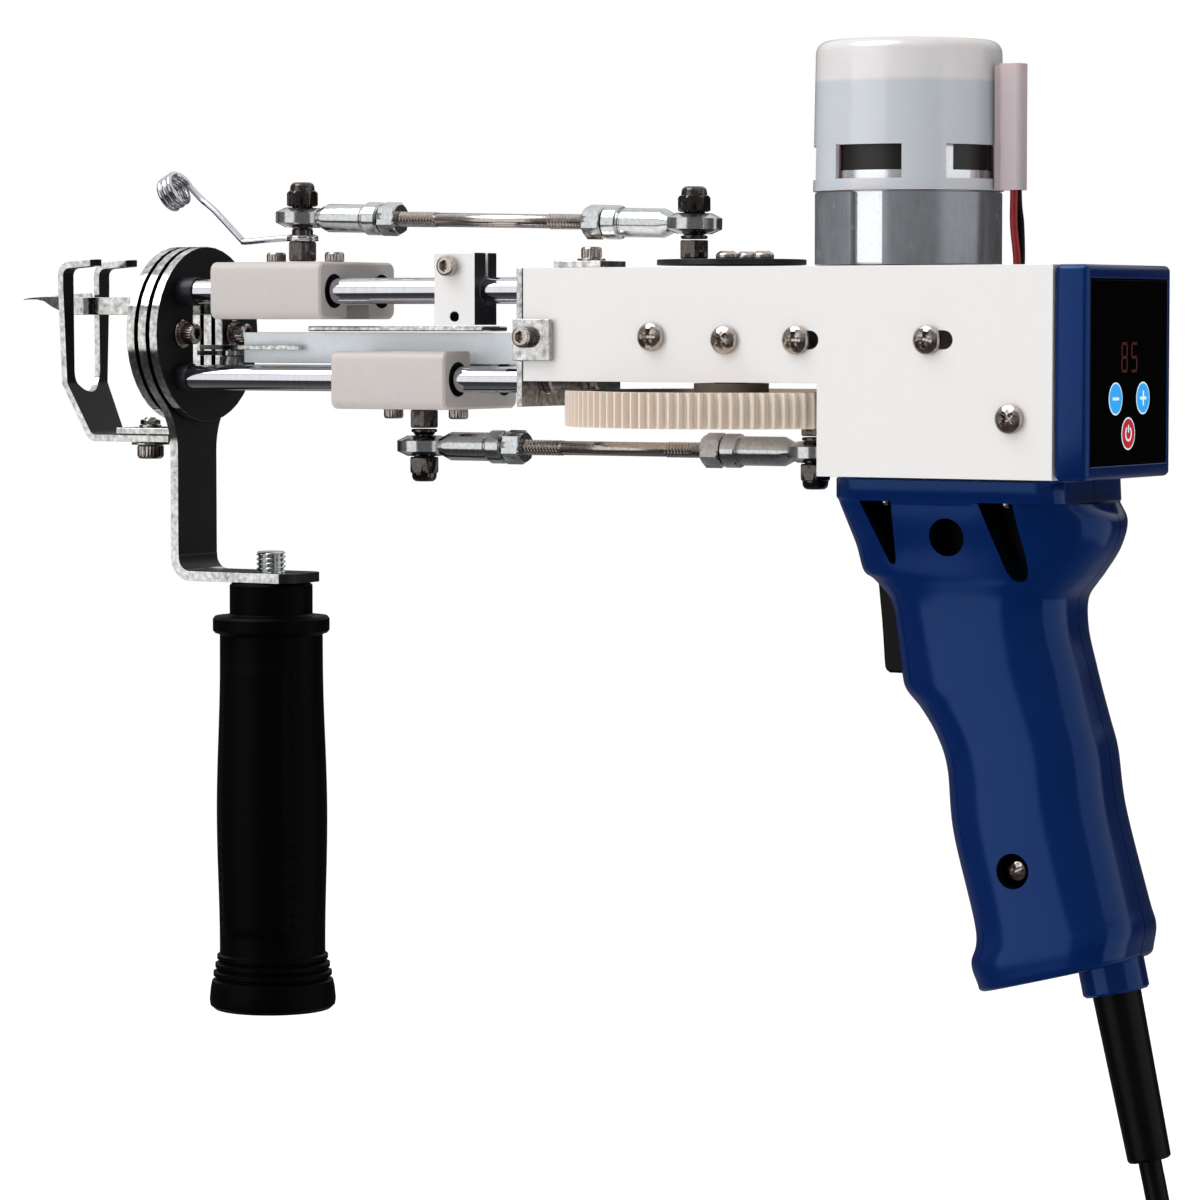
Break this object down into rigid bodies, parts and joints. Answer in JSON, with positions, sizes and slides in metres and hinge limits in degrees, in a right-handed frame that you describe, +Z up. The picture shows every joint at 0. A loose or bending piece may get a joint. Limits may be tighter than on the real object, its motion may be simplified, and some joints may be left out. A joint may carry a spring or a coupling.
{
  "type": "handheld tufting machine",
  "caption": "Motor-driven tufting tool: a geared crank slides a needle and scissors on guide rods between a pistol grip and a front grip",
  "frame": {"origin": "in the rear pistol grip, where the hand holds the machine", "axes": "+X to the rear, away from the needle; +Z up; -Y the side with the folded tab and the grip's screw recesses"},
  "size_m": [0.3722, 0.1124, 0.3534],
  "materials": {
    "satin_aluminium": "satin silver",
    "chrome_plate": "bright chrome plating",
    "nickel_steel": "nickel-plated steel",
    "dark_steel": "dark chromed steel",
    "zinc_plate": "zinc-plated bar",
    "nylon": "natural nylon",
    "grey_paint": "grey flux ring",
    "frosted_plastic": "milky translucent plastic",
    "pink_plastic": "pinkish white plastic",
    "red_insulation": "red wire insulation",
    "black_insulation": "black wire insulation",
    "blue_plastic": "glossy dark blue plastic",
    "panel_glass": "glossy black panel",
    "board_green": "green circuit board",
    "black_plastic": "black moulded plastic",
    "black_rubber": "black rubber"
  },
  "bodies": {
    "frame": {"gear_housing": "satin_aluminium", "upper_bearing": "nickel_steel", "lower_bearing": "nickel_steel", "end_plate": "chrome_plate", "upper_near_rod": "chrome_plate", "upper_far_rod": "chrome_plate", "lower_near_rod": "chrome_plate", "lower_far_rod": "chrome_plate", "guide_bar": "zinc_plate", "cam_plate": "chrome_plate", "rod_clamp": "satin_aluminium", "rear_flange_disc": "dark_steel", "front_flange_disc": "dark_steel", "handle_bracket": "dark_steel", "foot_bracket": "chrome_plate", "front_grip": "black_rubber", "grip_stud": "nickel_steel", "motor_can": "nickel_steel", "flux_ring": "grey_paint", "motor_cap": "frosted_plastic", "wire_duct": "pink_plastic", "red_lead": "red_insulation", "black_lead": "black_insulation", "control_head": "blue_plastic", "panel_glass": "panel_glass", "circuit_board": "board_green", "grip_shell_near": "blue_plastic", "grip_shell_far": "blue_plastic", "strain_relief": "black_rubber", "trigger_switch": "black_plastic", "cord_run": "black_rubber", "cord_coil": "black_rubber", "mains_plug": "black_plastic"},
    "crank": {"drive_gear": "nylon", "crank_shaft": "nickel_steel", "crank_disc": "dark_steel", "upper_crank_standoff": "nickel_steel", "lower_crank_standoff": "nickel_steel"},
    "pinion": {"motor_pinion": "nickel_steel"},
    "needle_drive": {"needle_carriage": "nylon", "needle_standoff": "nickel_steel", "needle_rod_end_front": "nickel_steel", "needle_rod_end_rear": "nickel_steel", "needle_link_rod": "nickel_steel", "needle_pivot_front": "dark_steel", "needle_pivot_rear": "dark_steel", "needle_bar": "chrome_plate", "yarn_guide": "chrome_plate"},
    "cutter_drive": {"cutter_carriage": "nylon", "cutter_standoff": "nickel_steel", "cutter_rod_end_front": "nickel_steel", "cutter_rod_end_rear": "nickel_steel", "cutter_link_rod": "nickel_steel", "cutter_pivot_front": "dark_steel", "cutter_pivot_rear": "dark_steel", "scissor_holder": "nickel_steel"},
    "near_blade": {"scissor_near": "chrome_plate"},
    "far_blade": {"scissor_far": "chrome_plate"},
    "foot": {"presser_foot": "chrome_plate"},
    "trigger": {"trigger": "black_plastic"}
  },
  "joints": [
    {"name": "crank_turn", "type": "hinge", "parent": "frame", "child": "crank", "pos_m": [-0.078, 0, 0.0807], "axis": [0, 0, 1], "range_deg": [0, 180]},
    {"name": "pinion_spin", "type": "hinge", "parent": "frame", "child": "pinion", "pos_m": [-0.0298, 0, 0.0807], "axis": [0, 0, 1], "range_deg": [-900, 0]},
    {"name": "needle_slide", "type": "slide", "parent": "frame", "child": "needle_drive", "axis": [1, 0, 0], "range_m": [0, 0.021]},
    {"name": "cutter_slide", "type": "slide", "parent": "frame", "child": "cutter_drive", "axis": [-1, 0, 0], "range_m": [0, 0.0466]},
    {"name": "near_blade_turn", "type": "hinge", "parent": "cutter_drive", "child": "near_blade", "pos_m": [-0.227, 0, 0.0952], "axis": [0, 0, -1], "range_deg": [0, 3.5]},
    {"name": "far_blade_turn", "type": "hinge", "parent": "cutter_drive", "child": "far_blade", "pos_m": [-0.227, 0, 0.0937], "axis": [0, 0, 1], "range_deg": [0, 3.5]},
    {"name": "foot_adjust", "type": "slide", "parent": "frame", "child": "foot", "axis": [-1, 0, 0], "range_m": [0, 0.003]},
    {"name": "trigger_pull", "type": "slide", "parent": "frame", "child": "trigger", "axis": [1, 0, 0], "range_m": [0, 0.005], "stiffness_N_per_m": 300, "springref_m": -0.002}
  ],
  "couplings": [
    {"joint": "pinion_spin", "follows": "crank_turn", "ratio": -5},
    {"joint": "needle_slide", "follows": "crank_turn", "m_per_rad": 0.0066845},
    {"joint": "cutter_slide", "follows": "crank_turn", "m_per_rad": 0.014833},
    {"joint": "near_blade_turn", "follows": "crank_turn", "ratio": 0.019444},
    {"joint": "far_blade_turn", "follows": "crank_turn", "ratio": 0.019444}
  ]
}
